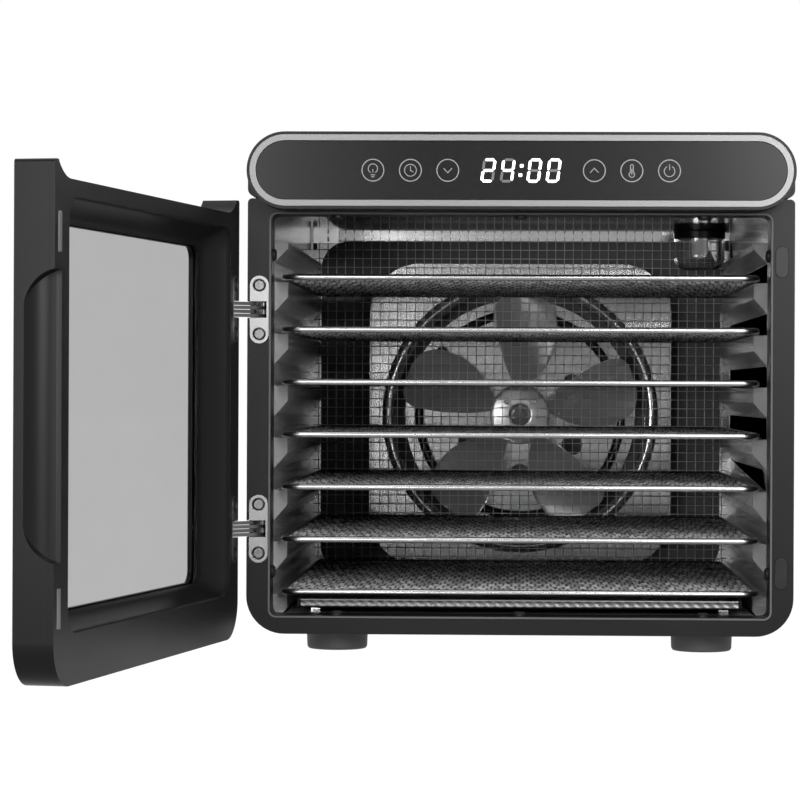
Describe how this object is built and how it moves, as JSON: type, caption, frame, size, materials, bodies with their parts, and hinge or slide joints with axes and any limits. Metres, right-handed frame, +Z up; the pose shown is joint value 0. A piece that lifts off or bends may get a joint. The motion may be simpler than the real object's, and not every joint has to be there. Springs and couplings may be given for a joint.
{
  "type": "food dehydrator",
  "caption": "Bench-top food dehydrator with a glazed side-hinged door, sliding wire trays, a touch panel, and a fan and ring heater behind a mesh guard.",
  "frame": {"origin": "middle of the ground covered by the appliance with its door open as at rest, on the table under the feet", "axes": "+X to the right of a person facing the front, +Y from the front into the cabinet, +Z up"},
  "size_m": [0.4348, 0.7963, 0.3286],
  "materials": {
    "casing_steel": "brushed stainless sheet",
    "black_plastic": "moulded black plastic, semi-gloss",
    "silver_trim": "satin silver trim",
    "panel_glass": "black touch glass",
    "display": "display module behind the glass",
    "circuit_board": "coated board",
    "mirror_steel": "mirror-bright stainless sheet of the ceiling",
    "polished_steel": "bright rolled stainless sheet",
    "tray_steel": "electropolished stainless wire",
    "dark_steel": "dark coated sheet",
    "heater_sheath": "black sheathed heating tube",
    "white_ceramic": "frosted bulb",
    "clear_glass": "clear lamp glass",
    "tinted_glass": "grey tinted tempered glass",
    "rubber": "black rubber",
    "zinc": "zinc casting",
    "bright_screw": "plated steel",
    "black_screw": "blackened steel",
    "magnet": "plated magnet strip",
    "fan_steel": "bright aluminium sheet"
  },
  "bodies": {
    "cabinet": {"outer_shell": "casing_steel", "base_plate": "casing_steel", "rear_panel": "casing_steel", "control_housing": "black_plastic", "front_frame": "black_plastic", "trim_ring": "silver_trim", "panel_glass": "panel_glass", "display_module": "display", "control_board": "circuit_board", "liner_left": "polished_steel", "liner_right": "polished_steel", "liner_top": "mirror_steel", "liner_floor": "polished_steel", "back_frame": "polished_steel", "mesh_guard": "tray_steel", "plenum_box": "dark_steel", "fan_plate": "polished_steel", "heating_element": "heater_sheath", "motor_spider": "polished_steel", "motor": "dark_steel", "lamp_socket": "black_plastic", "lamp_bulb": "white_ceramic", "lamp_lens": "clear_glass", "feet": "rubber", "foot_screws": "bright_screw", "frame_screws": "black_screw", "frame_magnets": "black_screw", "opening_seal": "rubber", "frame_hinges": "zinc", "frame_hinge_screws": "bright_screw", "cord_gland": "black_plastic"},
    "fan_rotor": {"fan_impeller": "fan_steel", "motor_shaft": "bright_screw", "fan_nut": "bright_screw", "cooling_fan": "black_plastic"},
    "door": {"door_shell": "black_plastic", "door_inner_frame": "black_plastic", "window_bezel": "black_plastic", "door_glass": "tinted_glass", "door_seal": "rubber", "door_magnets": "magnet", "door_hinges": "zinc", "door_hinge_screws": "bright_screw"},
    "frame_link_upper": {"frame_link_upper": "zinc"},
    "frame_link_lower": {"frame_link_lower": "zinc"},
    "door_link_upper": {"door_link_upper": "zinc"},
    "door_link_lower": {"door_link_lower": "zinc"},
    "tray_1": {"tray_1": "tray_steel"},
    "tray_2": {"tray_2": "tray_steel"},
    "tray_3": {"tray_3": "tray_steel"},
    "tray_4": {"tray_4": "tray_steel"},
    "tray_5": {"tray_5": "tray_steel"},
    "tray_6": {"tray_6": "tray_steel"},
    "tray_7": {"tray_7": "tray_steel"},
    "drip_tray": {"drip_tray": "tray_steel"}
  },
  "joints": [
    {"name": "door_hinge", "type": "hinge", "parent": "cabinet", "child": "door", "pos_m": [-0.13106, -0.05404, 0.15], "axis": [0, 0, -1], "range_deg": [-100.5, 74.5]},
    {"name": "frame_link_upper_pivot", "type": "hinge", "parent": "cabinet", "child": "frame_link_upper", "pos_m": [-0.11776, -0.04604, 0.218], "axis": [0, 0, -1], "range_deg": [-36.48, 27.12]},
    {"name": "door_link_upper_pivot", "type": "hinge", "parent": "door", "child": "door_link_upper", "pos_m": [-0.14136, -0.06566, 0.218], "axis": [0, 0, -1], "range_deg": [-27.12, 36.48]},
    {"name": "frame_link_lower_pivot", "type": "hinge", "parent": "cabinet", "child": "frame_link_lower", "pos_m": [-0.11776, -0.04604, 0.0795], "axis": [0, 0, -1], "range_deg": [-36.48, 27.12]},
    {"name": "door_link_lower_pivot", "type": "hinge", "parent": "door", "child": "door_link_lower", "pos_m": [-0.14136, -0.06566, 0.0795], "axis": [0, 0, -1], "range_deg": [-27.12, 36.48]},
    {"name": "fan_spin", "type": "hinge", "parent": "cabinet", "child": "fan_rotor", "pos_m": [0.04494, 0.32671, 0.1495], "axis": [0, 1, 0], "continuous": true},
    {"name": "tray_1_slide", "type": "slide", "parent": "cabinet", "child": "tray_1", "axis": [0, -1, 0], "range_m": [0, 0.3]},
    {"name": "tray_2_slide", "type": "slide", "parent": "cabinet", "child": "tray_2", "axis": [0, -1, 0], "range_m": [0, 0.3]},
    {"name": "tray_3_slide", "type": "slide", "parent": "cabinet", "child": "tray_3", "axis": [0, -1, 0], "range_m": [0, 0.3]},
    {"name": "tray_4_slide", "type": "slide", "parent": "cabinet", "child": "tray_4", "axis": [0, -1, 0], "range_m": [0, 0.3]},
    {"name": "tray_5_slide", "type": "slide", "parent": "cabinet", "child": "tray_5", "axis": [0, -1, 0], "range_m": [0, 0.3]},
    {"name": "tray_6_slide", "type": "slide", "parent": "cabinet", "child": "tray_6", "axis": [0, -1, 0], "range_m": [0, 0.3]},
    {"name": "tray_7_slide", "type": "slide", "parent": "cabinet", "child": "tray_7", "axis": [0, -1, 0], "range_m": [0, 0.3]},
    {"name": "drip_tray_slide", "type": "slide", "parent": "cabinet", "child": "drip_tray", "axis": [0, -1, 0], "range_m": [0, 0.3]}
  ],
  "couplings": [
    {"joint": "frame_link_upper_pivot", "follows": "door_hinge", "ratio": 0.36},
    {"joint": "door_link_upper_pivot", "follows": "door_hinge", "ratio": -0.36},
    {"joint": "frame_link_lower_pivot", "follows": "door_hinge", "ratio": 0.36},
    {"joint": "door_link_lower_pivot", "follows": "door_hinge", "ratio": -0.36}
  ]
}
